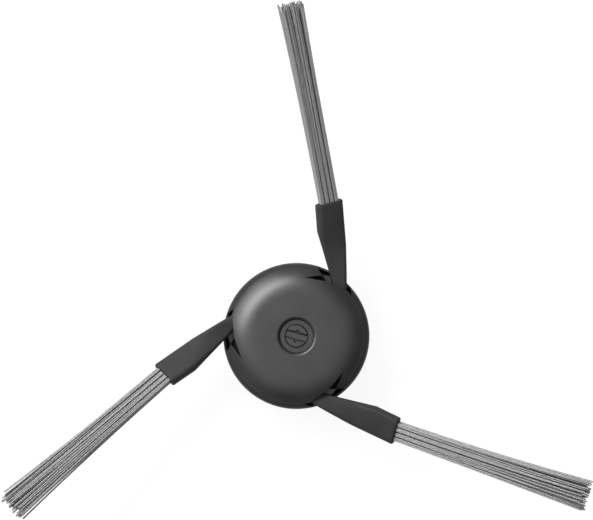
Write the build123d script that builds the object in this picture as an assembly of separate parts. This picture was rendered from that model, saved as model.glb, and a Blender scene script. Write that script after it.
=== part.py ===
from build123d import *
from math import cos, radians, sin, sqrt, tan
from random import Random
import os

# Side brush of a robot vacuum: a domed hub holds three rubber arms with tufts of nylon filaments.
# Millimetres. Z is the hub's axis, with the dome towards +Z and the drive boss's rest face at zero.
# Arm 1 points along +Y. The other arms are the same one turned about the axis.

# Hub, from the rest face upwards
arm_count = 3
hub_radius = 17.0
boss_drop = 5.2          # from the flange's underside to the rest face
flange_thickness = 1.5
spigot_height = 2.2      # platform inside the cap, above the flange
skirt_height = 2.4       # straight wall of the cap, above the flange
shoulder_radius = 4.3    # tight arc from the skirt into the dome
shoulder_turn = 50.0
brow_radius = 10.2       # wide arc from the shoulder into the shallow cone
brow_turn = 36.0
crown_radius = 6.5       # flat middle of the dome
cap_wall = 1.4
spigot_clearance = 0.1
rim_height = 0.9         # raised rim of the flange, round the cap's tongue
rim_width = 0.55
tongue_clearance = 0.05
groove_depth = 0.9       # slanting groove inside the raised rim, under the cap's tongue
flange_edge = 0.4        # chamfer under the flange and at the boss

# Screw and its seat in the cap
counterbore_radius = 4.4  # under the eased edge
counterbore_floor_radius = 3.95
counterbore_depth = 0.8
counterbore_edge = 0.42
counterbore_edge_slant = 24.0
head_radius = 2.55
head_height = 1.8
head_clearance = 0.2
head_edge = 0.15
slot_width = 1.24        # on the slot's floor
slot_depth = 0.5
slot_draft = 40.0        # slant of the slot's walls
cross_width = 0.6
cross_length = 3.1
slot_azimuth = -15.7
shank_radius = 1.2       # waisted above the thread, so that the screw stays in the hub
shank_clearance = 0.15
thread_radius = 1.5
thread_length = 3.9
thread_tip = 0.4
roof_clearance = 0.3     # between the socket's roof and the thread
column_radius = 4.6

# Drive socket in the base
seat_thickness = 1.8     # cap material under the screw's head
socket_width = 7.0
socket_corner = 0.8
socket_roof = 2.0
pilot_radius = 5.4
pilot_depth = 1.5
tower_radius = 6.0
boss_radius = 7.4
spigot_wall = 1.4        # round the hollow under the flange
platform_thickness = 1.4
base_rib_count = 6
base_rib_thickness = 1.2
base_rib_inset = 0.3     # how far the ribs stay above the flange's underside

# Keys that stop the cap turning on the base
key_width = 2.0
key_depth = 1.0
key_clearance = 0.1
key_azimuth = 7.0

# Arm, in a frame that is turned to its sleeve and looks out along +X, with +Y on its left
arm_azimuth = 94.5
neck_inset = 5.9         # from the hub's side to the neck's middle, across the arm
neck_width = 2.95
neck_thickness = 2.8
neck_lift = 0.1          # neck above the platform
neck_corner = 0.7
rim_neck_width = 4.25
rim_neck_shift = 0.33    # how far the neck drifts left at the rim
rim_neck_reach = 1.9     # from the rim to the section where the neck starts to flare
rim_neck_heading = 5.0
rim_neck_pitch = 7.0
rim_neck_rise = 0.35
head_bar_length = 4.8
head_bar_thickness = 2.4
head_bar_height = 2.4
head_bar_inset = 9.7     # from the rim in to the middle of the root's cross bar
sleeve_reach = 17.6      # from the rim out to the sleeve's mouth
sleeve_drift = 1.2       # mouth to the left of the neck
sleeve_rise = 3.1        # mouth above the neck
sleeve_width = 6.5
sleeve_thickness = 3.0
sleeve_corner = 1.1
sleeve_length = 8.5
sleeve_shoulder_slant = 30.0
sleeve_pitch = 13.0
sleeve_roll = 20.0
tuft_lean = 6.0          # tufts against the sleeve's sides, to the left

# Two rounds of cuts that ease an arm's corners in three facets, as shares of the corner's radius
facet_turn = 22.5
first_ease = 2 - sqrt(2)
second_ease = tan(radians(facet_turn)) - tan(radians(facet_turn / 2))

# Walls on the base that hold the arms' roots
root_wall_thickness = 1.5
root_wall_length = 8.6
root_wall_height = 2.6
root_clearance = 0.1

# Window in the cap for each arm, in the arm's frame
lip_inset = 2.6          # dome's lip over the arm, in from the rim
lip_heading = -29.0
window_left = 3.35       # from the neck's middle to the lip's left end
window_right = 2.35
window_flare = 26.0
channel_clearance = 0.25  # over the neck
channel_length = 4.0     # how far the channel runs in under the lip

# Slit through the shoulder beside each window, which tapers away from the lip's left end
slit_length = 5.7
slit_width = 1.5         # beside the window
slit_heading = -15.0     # from the arm's direction to the way out of the inner wall

# Tufts
tufts_per_arm = 4
pocket_width = 4.7
pocket_thickness = 1.9
pocket_depth = 4.0
tuft_recess = 0.6        # root of a tuft below the mouth
tuft_clearance = 0.02
filament_radius = 0.16
filament_sides = 5
filament_columns = 3
filament_spacing = 0.31  # between columns, which leaves a gap between tufts
filament_rows = 4
filament_sink = 0.4      # filaments into the root
filament_length = 48.0   # beyond the mouth
filament_length_spread = 1.3
fan_width = (5.8, 8.15, 7.55)
fan_thickness = 3.4
fan_scatter = 0.1
fan_seed = 3

# Heights
flange_top = boss_drop + flange_thickness
flange_rim_top = flange_top + rim_height
platform_top = flange_top + spigot_height
skirt_top = flange_top + skirt_height
shoulder_arc = JernArc((hub_radius, skirt_top), (0, 1), shoulder_radius, shoulder_turn)
brow_arc = JernArc(shoulder_arc @ 1, shoulder_arc % 1, brow_radius, brow_turn)
shoulder_normal = Vector(1, 0).rotate(Axis.Z, shoulder_turn)
brow_normal = Vector(1, 0).rotate(Axis.Z, shoulder_turn + brow_turn)
brow_end = brow_arc @ 1
cone_slope = brow_normal.X / brow_normal.Y
hub_height = brow_end.Y + cone_slope * (brow_end.X - crown_radius)
counterbore_floor = hub_height - counterbore_depth
seat_z = counterbore_floor - head_height
tower_top = seat_z - seat_thickness
socket_top = tower_top - socket_roof
neck_z = platform_top + neck_lift + neck_thickness / 2
channel_top = neck_z + neck_thickness / 2 + channel_clearance
too_far = 2 * hub_radius

# Places along the arm
neck_offset = hub_radius - neck_inset
sleeve_offset = neck_offset - sleeve_drift
rim_x = sqrt(hub_radius**2 - neck_offset**2)
head_bar_x = rim_x - head_bar_inset
mouth = Pos(rim_x + sleeve_reach, -sleeve_offset, neck_z + sleeve_rise) * Rot(Z=tuft_lean)
mouth = mouth * Rot(Y=-sleeve_pitch) * Rot(X=sleeve_roll)
turns = [Rot(Z=360 / arm_count * index) for index in range(arm_count)]
arm_places = [turn * Rot(Z=arm_azimuth) for turn in turns]


def spun(outline):
    """Solid of revolution of a closed outline in the XZ plane."""
    return revolve(Plane.XZ * make_face(outline), Axis.Z)


def standing_cylinder(radius, low, high):
    """Cylinder on the hub's axis between two heights."""
    return Pos(0, 0, low) * extrude(Circle(radius), high - low)


def standing_box(x_low, x_high, y_low, y_high, z_low, z_high):
    """Box between two corners."""
    size = (x_high - x_low, y_high - y_low, z_high - z_low)
    return Pos(x_low, y_low, z_low) * Box(*size, align=(Align.MIN, Align.MIN, Align.MIN))


def cap_outside():
    """Dome, filled: flat crown, shallow cone, brow, shoulder, straight skirt and tongue."""
    tongue_radius = hub_radius - rim_width - tongue_clearance
    tongue_bottom = flange_top + tongue_clearance
    lines = Polyline(
        brow_end,
        (crown_radius, hub_height),
        (0, hub_height),
        (0, tongue_bottom),
        (tongue_radius, tongue_bottom),
        (tongue_radius, flange_rim_top),
        (hub_radius, flange_rim_top),
        (hub_radius, skirt_top),
    )
    return spun(shoulder_arc + brow_arc + lines)


def cap_inside(inset):
    """Form of the dome drawn in by an inset, with plain cones in place of its arcs."""
    shoulder_end = shoulder_arc @ 1 - shoulder_normal * inset
    roof_edge = brow_end - brow_normal * inset
    outline = Polyline(
        (0, flange_top),
        (hub_radius - inset, flange_top),
        (hub_radius - inset, skirt_top),
        shoulder_end,
        roof_edge,
        (0, roof_edge.Y),
        close=True,
    )
    return spun(outline)


def lip_end(y):
    """Point of the lip's straight edge at a distance across the arm."""
    lip = Vector(1, 0).rotate(Axis.Z, lip_heading)
    reach = hub_radius - lip_inset
    return Vector((reach - lip.Y * y) / lip.X, y)


def window_cut():
    """Opening for one arm: a notch through the rim and a channel in under the dome's lip."""
    left = window_left - neck_offset
    right = -window_right - neck_offset
    lip_left = lip_end(left)
    lip_right = lip_end(right)
    left_out = (too_far, left + (too_far - lip_left.X) * tan(radians(window_flare)))
    notch_outline = make_face(Polyline(lip_left, left_out, (too_far, right), lip_right, close=True))
    notch = Pos(0, 0, flange_top) * extrude(notch_outline, hub_height)
    channel_start = lip_right.X - channel_length
    channel = standing_box(channel_start, too_far, right, left, flange_top, channel_top)
    return notch + channel


def slit():
    """Tapering slit that runs on from the lip's left end."""
    start = lip_end(window_left - neck_offset)
    outline = make_face(Polyline((0, 0), (slit_width, 0), (0, slit_length), close=True))
    return Pos(start.X, start.Y, flange_top) * Rot(Z=slit_heading) * extrude(outline, hub_height)


def keys(grow):
    """Keys between cap and base, grown by a clearance for their grooves."""
    radius = hub_radius - cap_wall
    key = standing_box(
        radius - key_depth - grow,
        radius + cap_wall / 2,
        -key_width / 2 - grow,
        key_width / 2 + grow,
        flange_top,
        platform_top,
    )
    return [turn * Rot(Z=key_azimuth) * key for turn in turns]


def make_hub_cap():
    """Dome shell with screw column, keys, arm windows and the slits beside them."""
    outside = cap_outside()
    column = standing_cylinder(column_radius, tower_top, hub_height)
    cap = outside - cap_inside(cap_wall) + column + keys(0)
    edge_low = hub_height - counterbore_edge * tan(radians(counterbore_edge_slant))
    counterbore = Polyline(
        (0, counterbore_floor),
        (counterbore_floor_radius, counterbore_floor),
        (counterbore_radius, edge_low),
        (counterbore_radius + counterbore_edge, hub_height),
        (counterbore_radius + counterbore_edge, too_far),
        (0, too_far),
        close=True,
    )
    cap -= spun(counterbore)
    cap -= standing_cylinder(head_radius + head_clearance, seat_z, too_far)
    cap -= standing_cylinder(shank_radius + shank_clearance, 0, too_far)
    cuts = window_cut() + slit()
    return cap - [place * cuts for place in arm_places]


def make_drive_base():
    """Lower half: boss with the square socket, hollow flange, spigot, tower and root walls."""
    spigot_radius = hub_radius - cap_wall - spigot_clearance
    pocket_radius = spigot_radius - spigot_wall
    pocket_top = platform_top - platform_thickness
    outline = Polyline(
        (0, 0),
        (boss_radius - flange_edge, 0),
        (boss_radius, flange_edge),
        (boss_radius, pocket_top),
        (pocket_radius, pocket_top),
        (pocket_radius, boss_drop),
        (hub_radius - flange_edge, boss_drop),
        (hub_radius, boss_drop + flange_edge),
        (hub_radius, flange_rim_top),
        (hub_radius - rim_width, flange_rim_top),
        (hub_radius - rim_width, flange_top - groove_depth),
        (spigot_radius, flange_top),
        (spigot_radius, platform_top),
        (tower_radius, platform_top),
        (tower_radius, tower_top),
        (0, tower_top),
        close=True,
    )
    base = spun(outline)
    rib_low = boss_drop + base_rib_inset
    rib_half = base_rib_thickness / 2
    rib = standing_box(tower_radius, pocket_radius + flange_edge, -rib_half, rib_half, rib_low, pocket_top)
    base += [Rot(Z=360 / base_rib_count * index) * rib for index in range(base_rib_count)]
    base += root_walls() & cap_inside(cap_wall + 2 * spigot_clearance)
    base -= keys(key_clearance)
    socket_outline = RectangleRounded(socket_width, socket_width, socket_corner)
    base -= extrude(socket_outline, socket_top)
    base -= standing_cylinder(pilot_radius, 0, pilot_depth)
    return base - standing_cylinder(shank_radius + shank_clearance, 0, too_far)


def root_walls():
    """Pairs of walls that stand in front of the arms' cross bars, with the necks between them."""
    front = head_bar_x + head_bar_thickness / 2 + root_clearance
    half = root_wall_length / 2
    top = platform_top + root_wall_height
    wall = standing_box(front, front + root_wall_thickness, -half, half, flange_top, top)
    gap_half = neck_width / 2 + root_clearance
    gap = standing_box(0, too_far, -gap_half, gap_half, platform_top, hub_height)
    pair = Pos(0, -neck_offset, 0) * (wall - gap)
    return Part() + [place * pair for place in arm_places]


def make_fixing_screw():
    """Captive screw with a flat head and a combined slot and cross recess."""
    head_top = seat_z + head_height
    thread_top = socket_top - roof_clearance
    tip = thread_top - thread_length
    screw = spun(
        Polyline(
            (0, tip),
            (thread_radius - thread_tip, tip),
            (thread_radius, tip + thread_tip),
            (thread_radius, thread_top),
            (shank_radius, thread_top),
            (shank_radius, seat_z),
            (head_radius, seat_z),
            (head_radius, head_top - head_edge),
            (head_radius - head_edge, head_top),
            (0, head_top),
            close=True,
        )
    )
    floor_half = slot_width / 2
    open_half = floor_half + 2 * slot_depth * tan(radians(slot_draft))
    slot_outline = Polyline(
        (-floor_half, -slot_depth),
        (floor_half, -slot_depth),
        (open_half, slot_depth),
        (-open_half, slot_depth),
        close=True,
    )
    slot = extrude(Plane.YZ * make_face(slot_outline), too_far, both=True)
    cross = Box(cross_width, cross_length, 2 * slot_depth)
    return screw - Pos(0, 0, head_top) * Rot(Z=slot_azimuth) * (slot + cross)


def section(width, thickness, corner):
    """Section of an arm, seen along it, with each corner eased by three short facets."""
    outline = chamfer(Rectangle(width, thickness).vertices(), corner * first_ease)
    return Plane.YZ * chamfer(outline.vertices(), corner * second_ease)


def make_arm():
    """Rubber arm: cross bar, straight neck, flaring twisted shoulder and sleeve with its pocket."""
    shoulder_turn = sleeve_shoulder_slant + tuft_lean
    lean = radians(tuft_lean)
    shoulder_place = Pos(-sleeve_length * cos(lean), sleeve_length * sin(lean), 0) * Rot(Z=-shoulder_turn)
    shoulder_width = sleeve_width / cos(radians(sleeve_shoulder_slant))
    mouth_width = sleeve_width / cos(lean)
    shoulder_section = mouth * shoulder_place * section(shoulder_width, sleeve_thickness, sleeve_corner)
    mouth_section = mouth * section(mouth_width, sleeve_thickness, sleeve_corner)
    sleeve = loft([shoulder_section, mouth_section], ruled=True)

    rim_place = Pos(rim_x + rim_neck_reach, rim_neck_shift - neck_offset, neck_z + rim_neck_rise)
    rim_place = rim_place * Rot(Z=rim_neck_heading) * Rot(Y=-rim_neck_pitch)
    rim_section = rim_place * section(rim_neck_width, neck_thickness, neck_corner)
    neck_section = section(neck_width, neck_thickness, neck_corner)
    neck_start = Pos(rim_x - lip_inset, -neck_offset, neck_z) * neck_section
    head_neck = Pos(head_bar_x, -neck_offset, neck_z) * neck_section
    neck = extrude(head_neck, rim_x - lip_inset - head_bar_x)
    flare = loft([neck_start, rim_section, shoulder_section])

    bar = RectangleRounded(head_bar_thickness, head_bar_length, neck_corner)
    head_bar = Pos(head_bar_x, -neck_offset, platform_top) * extrude(bar, head_bar_height)
    pocket = mouth * (Plane.YZ * Rectangle(pocket_width, pocket_thickness))
    return head_bar + neck + flare + sleeve - extrude(pocket, -pocket_depth)


def make_tuft(tuft, fan, draw):
    """One tuft: a fused root in the sleeve's pocket and the filaments that fan out of it."""
    pitch = pocket_width / tufts_per_arm
    root_width = pitch - 2 * tuft_clearance
    root_thickness = pocket_thickness - 2 * tuft_clearance
    middle = (tuft - (tufts_per_arm - 1) / 2) * pitch
    root = Pos(-tuft_recess, middle, 0) * (Plane.YZ * Rectangle(root_width, root_thickness))
    root_length = pocket_depth - tuft_recess - tuft_clearance
    solid = extrude(root, -root_length)
    foot_x = -tuft_recess - filament_sink
    for column in range(filament_columns):
        for row in range(filament_rows):
            y = middle + (column - (filament_columns - 1) / 2) * filament_spacing
            z = ((row + 0.5) / filament_rows - 0.5) * root_thickness
            tip_y = y * fan / pocket_width + draw.uniform(-fan_scatter, fan_scatter)
            tip_z = z * fan_thickness / pocket_thickness + draw.uniform(-fan_scatter, fan_scatter)
            tip_x = filament_length + draw.uniform(-filament_length_spread, filament_length_spread)
            foot = Pos(foot_x, y, z) * (Plane.YZ * RegularPolygon(filament_radius, filament_sides))
            way = Vector(tip_x - foot_x, tip_y - y, tip_z - z)
            solid += extrude(foot, way.length, dir=way)
    return mouth * solid


nodes = {
    "hub_cap": make_hub_cap(),
    "drive_base": make_drive_base(),
    "fixing_screw": make_fixing_screw(),
}
arm = make_arm()
draw = Random(fan_seed)
for index, place in enumerate(arm_places):
    nodes[f"arm_{index + 1}"] = place * arm
    for tuft in range(tufts_per_arm):
        tuft_solid = make_tuft(tuft, fan_width[index % len(fan_width)], draw)
        nodes[f"arm_{index + 1}_tuft_{tuft + 1}"] = place * tuft_solid

os.makedirs("parts", exist_ok=True)
for name, shape in nodes.items():
    export_step(shape, f"parts/{name}.step")
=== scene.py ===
# %% [markdown]
# # Side brush of a robot vacuum
# The brush is seen dome up, as it shows when the vacuum is turned over. A satin hub holds three
# rubber arms, and each arm ends in a sleeve full of straight nylon filaments. The lesson dresses
# a fixed frame of solids with finer meshes, one piece of the brush at a time.

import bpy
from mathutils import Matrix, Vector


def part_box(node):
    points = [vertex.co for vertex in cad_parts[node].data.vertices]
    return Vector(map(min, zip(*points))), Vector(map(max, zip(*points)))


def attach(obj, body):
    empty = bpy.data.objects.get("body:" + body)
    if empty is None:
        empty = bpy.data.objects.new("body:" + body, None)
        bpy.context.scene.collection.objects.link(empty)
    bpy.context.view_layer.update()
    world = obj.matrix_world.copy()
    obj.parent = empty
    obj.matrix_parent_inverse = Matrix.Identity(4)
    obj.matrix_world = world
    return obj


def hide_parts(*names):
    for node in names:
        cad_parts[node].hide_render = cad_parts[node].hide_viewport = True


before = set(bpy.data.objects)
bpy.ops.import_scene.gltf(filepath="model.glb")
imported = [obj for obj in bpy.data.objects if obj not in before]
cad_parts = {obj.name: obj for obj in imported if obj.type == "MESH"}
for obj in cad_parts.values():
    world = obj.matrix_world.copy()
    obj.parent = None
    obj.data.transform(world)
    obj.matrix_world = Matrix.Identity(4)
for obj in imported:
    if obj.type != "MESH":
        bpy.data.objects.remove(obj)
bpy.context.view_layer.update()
print("solids:", sorted(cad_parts))

# %% [markdown]
# Blender counts in metres, but a brush is drawn in millimetres. The numbers of this lesson are
# therefore millimetres. Every mesh is shaped in a bmesh first and scaled to metres once, when it
# becomes a piece. Scaling the objects would be as quick, but then patterns and exports would have
# to deal with a scale on each of them.

# %% Modules and units
from math import copysign, cos, pi, radians, sin, sqrt, tan
import random

import bmesh
import bpy
from mathutils import Matrix, Vector

MM = 0.001
scene = bpy.context.scene
print("one unit of the drawing is", MM, "m")

# %% [markdown]
# The main sizes come from the frame where a box can give them. The rest repeat the brush's own
# drawing: the flat crown, the wide brow, the tight shoulder and the straight skirt.

# %% Sizes of the hub
base_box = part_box("drive_base")
cap_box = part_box("hub_cap")
TONGUE_GAP = 0.05
SKIRT_RISE = 2.4
SHOULDER_RADIUS = 4.3
SHOULDER_TURN = 50.0
BROW_RADIUS = 10.2
BROW_TURN = 36.0
CROWN_RADIUS = 6.5
CAP_WALL = 1.4
HUB_RADIUS = base_box[1].x / MM
HUB_TOP = cap_box[1].z / MM
FLANGE_TOP = cap_box[0].z / MM - TONGUE_GAP
SKIRT_TOP = FLANGE_TOP + SKIRT_RISE
print("hub radius", round(HUB_RADIUS, 2), "top", round(HUB_TOP, 2), "flange", round(FLANGE_TOP, 2))

# %% [markdown]
# ## Finishes
# A material is a small network of nodes, and most of its code adds a node and sets a few values.
# Three helpers take that over: one starts a material, one adds a node with its values, and one adds
# a colour ramp with its stops.

# %% Helpers for nodes
def new_material(name):
    """New material, with its nodes, its links and its shader."""
    material = bpy.data.materials.new(name)
    material.use_nodes = True
    tree = material.node_tree
    return material, tree.nodes, tree.links, tree.nodes["Principled BSDF"]


def add_node(nodes, kind, inputs=(), **settings):
    """Adds a node, changes its settings, and puts values on the inputs that are named."""
    node = nodes.new(kind)
    for setting, value in settings.items():
        setattr(node, setting, value)
    for socket, value in dict(inputs).items():
        node.inputs[socket].default_value = value
    return node


def add_ramp(nodes, stops):
    """Adds a colour ramp, with a place and a colour for each stop."""
    ramp = nodes.new("ShaderNodeValToRGB")
    elements = ramp.color_ramp.elements
    for _ in stops[2:]:
        elements.new(0.5)
    for element, (place, color) in zip(elements, stops):
        element.position = place
        element.color = (*color, 1)
    return ramp


print("helpers for nodes are ready")

# %% [markdown]
# The hub is moulded in a satin plastic whose mould was spark eroded, so it has a very fine even
# grain and faint clouds in its gloss. The rubber arms share that kind of grain, only duller, and so
# does the screw's paint. One node group makes all of them: it puts out a cloud value and a height,
# and each material uses its own scale. The group reads Object coordinates, so the grain stays put on
# the piece.

# %% Node group for moulded grain
def make_grain_group():
    """Fine grain and wide clouds for moulded surfaces, from Object coordinates."""
    group = bpy.data.node_groups.new("moulded_grain", "ShaderNodeTree")
    sockets = group.interface
    for name in ("Grain Scale", "Cloud Scale"):
        sockets.new_socket(name, in_out="INPUT", socket_type="NodeSocketFloat")
    for name in ("Height", "Cloud"):
        sockets.new_socket(name, in_out="OUTPUT", socket_type="NodeSocketFloat")
    nodes, links = group.nodes, group.links
    entry = nodes.new("NodeGroupInput")
    leave = nodes.new("NodeGroupOutput")
    place = nodes.new("ShaderNodeTexCoord")
    grain = add_node(nodes, "ShaderNodeTexNoise", {"Detail": 3.0, "Roughness": 0.6})
    cloud = add_node(nodes, "ShaderNodeTexNoise", {"Detail": 4.0})
    for noise, scale, out in ((grain, "Grain Scale", "Height"), (cloud, "Cloud Scale", "Cloud")):
        links.new(place.outputs["Object"], noise.inputs["Vector"])
        links.new(entry.outputs[scale], noise.inputs["Scale"])
        links.new(noise.outputs["Fac"], leave.inputs[out])
    print("node group", group.name)
    return group


grain_group = make_grain_group()

# %% [markdown]
# A moulded material mixes two close greys by the clouds, lets the clouds shift the roughness a
# little, and turns the grain into a shallow bump. Its gloss fades on surfaces that turn away from
# the eye. Deep in the hub the moulding lies in shade and looks nearly black, and there the shade is
# painted on. A second material could do that, but an attribute on the faces keeps one material for
# the piece: where "painted_shade_face" is one, the colour goes over to a darker painted-shade grey,
# and the roughness and the gloss to dull values. Other pieces lack it.

# %% Moulded surface
CLOUD_SCALE = 160.0
CLOUD_FADE = (0.3, 0.7)
SHEEN_FADE = (0.15, 0.39)
# The darker grey below is painted shade, for the faces deep in the hub.
PAINTED_SHADE_TINT = (0.012, 0.012, 0.0122, 1)
PLAIN_ROUGHNESS = 0.6
PLAIN_SPECULAR = 0.06


def make_moulded(name, dark, light, rough, grain_scale, bump_distance, specular, edge_specular):
    """Satin or dull moulded surface with grain, clouds, a faint shift of gloss, and painted shade on
    marked faces.
    """
    material, nodes, links, shader = new_material(name)
    shader.inputs["Specular IOR Level"].default_value = specular
    scales = {"Grain Scale": grain_scale, "Cloud Scale": CLOUD_SCALE}
    grain = add_node(nodes, "ShaderNodeGroup", scales, node_tree=grain_group)
    tint = add_ramp(nodes, ((CLOUD_FADE[0], dark), (CLOUD_FADE[1], light)))
    gloss = add_node(nodes, "ShaderNodeMapRange", {"To Min": rough[0], "To Max": rough[1]})
    bump = add_node(nodes, "ShaderNodeBump", {"Strength": 0.5, "Distance": bump_distance})
    facing = nodes.new("ShaderNodeLayerWeight")
    sheen = add_node(nodes, "ShaderNodeMapRange", {
        "From Min": SHEEN_FADE[0], "From Max": SHEEN_FADE[1],
        "To Min": specular, "To Max": edge_specular,
    })
    links.new(facing.outputs["Facing"], sheen.inputs["Value"])
    links.new(grain.outputs["Cloud"], tint.inputs["Fac"])
    links.new(grain.outputs["Cloud"], gloss.inputs["Value"])
    links.new(grain.outputs["Height"], bump.inputs["Height"])
    links.new(bump.outputs["Normal"], shader.inputs["Normal"])
    # Painted shade: where the mask is one, the colour becomes a darker grey, and roughness and gloss
    # go dull.
    painted_shade = add_node(nodes, "ShaderNodeAttribute", attribute_name="painted_shade_face")
    for usual, kind, painted_shade_value, target in (
        (tint.outputs["Color"], "RGBA", PAINTED_SHADE_TINT, "Base Color"),
        (gloss.outputs["Result"], "FLOAT", PLAIN_ROUGHNESS, "Roughness"),
        (sheen.outputs["Result"], "FLOAT", PLAIN_SPECULAR, "Specular IOR Level"),
    ):
        mix = add_node(nodes, "ShaderNodeMix", data_type=kind)
        mix.inputs["B"].default_value = painted_shade_value
        links.new(painted_shade.outputs["Fac"], mix.inputs["Factor"])
        links.new(usual, mix.inputs["A"])
        links.new(mix.outputs["Result"], shader.inputs[target])
    print("material", name)
    return material


# %% [markdown]
# The three moulded finishes differ only in their values. The hub is the glossiest, the rubber is
# dull and a little lighter, and the paint on the screw has the finest grain.

# %% Hub, rubber and screw finishes
hub_plastic = make_moulded(
    "hub_plastic_satin",
    dark=(0.018, 0.018, 0.0185), light=(0.024, 0.024, 0.0245),
    rough=(0.3, 0.4), grain_scale=5200.0, bump_distance=0.000012,
    specular=0.5, edge_specular=0.03,
)
arm_rubber = make_moulded(
    "arm_rubber_dull",
    dark=(0.0205, 0.0205, 0.021), light=(0.027, 0.027, 0.0275),
    rough=(0.5, 0.6), grain_scale=4200.0, bump_distance=0.000008,
    specular=0.1, edge_specular=0.06,
)
screw_paint = make_moulded(
    "screw_dark_paint",
    dark=(0.02, 0.02, 0.0205), light=(0.025, 0.025, 0.0255),
    rough=(0.34, 0.44), grain_scale=6800.0, bump_distance=0.000008,
    specular=0.5, edge_specular=0.1,
)

# %% [markdown]
# Nylon filaments are drawn, not moulded. Each one has its own shade of grey, kept as an attribute
# on its vertices, and the shade drifts a little along it. A soft gloss makes a tuft bright where
# the rods lie across the light, and leaves it dark where they point at the lamp.

# %% Filament material
def make_filament_material():
    """Grey drawn nylon, with a shade of its own for each filament."""
    material, nodes, links, shader = new_material("bristle_nylon_grey")
    shader.inputs["Specular IOR Level"].default_value = 1.0
    shader.inputs["IOR"].default_value = 1.6
    shade = add_node(nodes, "ShaderNodeAttribute", attribute_name="filament_shade")
    place = nodes.new("ShaderNodeTexCoord")
    streak = add_node(nodes, "ShaderNodeTexNoise", {"Scale": 140.0, "Detail": 2.0})
    blend = add_node(nodes, "ShaderNodeMix", {"Factor": 0.12})
    tint = add_ramp(nodes, ((0.0, (0.046, 0.046, 0.047)), (1.0, (0.185, 0.185, 0.188))))
    gloss = add_node(nodes, "ShaderNodeMapRange", {"To Min": 0.42, "To Max": 0.52})
    links.new(place.outputs["Object"], streak.inputs["Vector"])
    links.new(shade.outputs["Fac"], blend.inputs["A"])
    links.new(streak.outputs["Fac"], blend.inputs["B"])
    links.new(blend.outputs["Result"], tint.inputs["Fac"])
    links.new(streak.outputs["Fac"], gloss.inputs["Value"])
    links.new(tint.outputs["Color"], shader.inputs["Base Color"])
    links.new(gloss.outputs["Result"], shader.inputs["Roughness"])
    print("material", material.name)
    return material


bristle_nylon = make_filament_material()

# %% [markdown]
# ## Hub cap
# The cap is a turned form, so its section is drawn once and spun about the axis. From the side the
# dome is two arcs that flow into each other: the tight shoulder stands on the skirt, and the wide
# brow goes on from where it ends. A subdivided dome could come close, but arcs keep the bright
# crescent on the brow even.

# %% Arcs of the dome
shoulder_center = Vector((HUB_RADIUS - SHOULDER_RADIUS, SKIRT_TOP))
shoulder_end = Vector((cos(radians(SHOULDER_TURN)), sin(radians(SHOULDER_TURN))))
brow_center = shoulder_center + shoulder_end * (SHOULDER_RADIUS - BROW_RADIUS)


def arc(center, radius, start, end, steps):
    """Points of an arc in the section, with angles in degrees."""
    turns = [radians(start + (end - start) * step / steps) for step in range(steps + 1)]
    return [center + Vector((cos(turn), sin(turn))) * radius for turn in turns]


print("shoulder's centre", shoulder_center, "brow's centre", brow_center)

# %% [markdown]
# The section runs from the screw's seat out over the counterbore, crown, brow, shoulder and skirt,
# and back inside. A second point close to the counterbore's eased edge keeps the smooth shading off
# the flat crown.

# %% Section of the cap
COUNTERBORE_RADIUS = 4.22
COUNTERBORE_FLOOR_RADIUS = 3.78
COUNTERBORE_DEPTH = 0.8
COUNTERBORE_EDGE = 0.36
COUNTERBORE_EDGE_SLANT = 24.0
EDGE_SUPPORT = 0.06
HEAD_HOLE_RADIUS = 2.75
HEAD_HEIGHT = 1.8
SEAT_THICKNESS = 1.8
SHANK_HOLE_RADIUS = 1.35
COLUMN_RADIUS = 4.6
RIM_TOP = FLANGE_TOP + 0.9
TONGUE_RADIUS = HUB_RADIUS - 0.6
TONGUE_BOTTOM = FLANGE_TOP + TONGUE_GAP
SEAM_EDGE = 0.15
BROW_STEPS = 36
SHOULDER_STEPS = 22
INSIDE_STEPS = 6


def cap_section():
    """Closed outline of the cap, from the screw's seat round to its underside."""
    floor = HUB_TOP - COUNTERBORE_DEPTH
    seat = floor - HEAD_HEIGHT
    below = seat - SEAT_THICKNESS
    edge_low = HUB_TOP - COUNTERBORE_EDGE * tan(radians(COUNTERBORE_EDGE_SLANT))
    edge_high = COUNTERBORE_RADIUS + COUNTERBORE_EDGE
    brow_end = SHOULDER_TURN + BROW_TURN
    points = [(SHANK_HOLE_RADIUS, seat), (HEAD_HOLE_RADIUS, seat), (HEAD_HOLE_RADIUS, floor)]
    points += [(COUNTERBORE_FLOOR_RADIUS, floor), (COUNTERBORE_RADIUS, edge_low)]
    points += [(edge_high, HUB_TOP), (edge_high + EDGE_SUPPORT, HUB_TOP), (CROWN_RADIUS, HUB_TOP)]
    points += arc(brow_center, BROW_RADIUS, brow_end, SHOULDER_TURN, BROW_STEPS)
    points += arc(shoulder_center, SHOULDER_RADIUS, SHOULDER_TURN, 0, SHOULDER_STEPS)[1:]
    points += [(HUB_RADIUS, RIM_TOP + SEAM_EDGE), (HUB_RADIUS - SEAM_EDGE, RIM_TOP)]
    points += [(TONGUE_RADIUS, RIM_TOP), (TONGUE_RADIUS, TONGUE_BOTTOM)]
    points += [(HUB_RADIUS - CAP_WALL, TONGUE_BOTTOM)]
    points += arc(shoulder_center, SHOULDER_RADIUS - CAP_WALL, 0, SHOULDER_TURN, INSIDE_STEPS)
    points += arc(brow_center, BROW_RADIUS - CAP_WALL, SHOULDER_TURN, brow_end, INSIDE_STEPS)[1:]
    roof = points[-1][1]
    points += [(COLUMN_RADIUS, roof), (COLUMN_RADIUS, below), (SHANK_HOLE_RADIUS, below)]
    return points


section_points = cap_section()
print("cap section", len(section_points), "points")

# %% [markdown]
# A full spin with use_merge closes the ring. Spin can leave the shell inside out, so the normals
# are worked out again before anything is cut. The same helper turns the base and the screw later:
# the screw's section starts and ends on the axis, so it stays open.

# %% Spin the cap
SPIN_STEPS = 288
MERGE_DISTANCE = 1e-4


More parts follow.
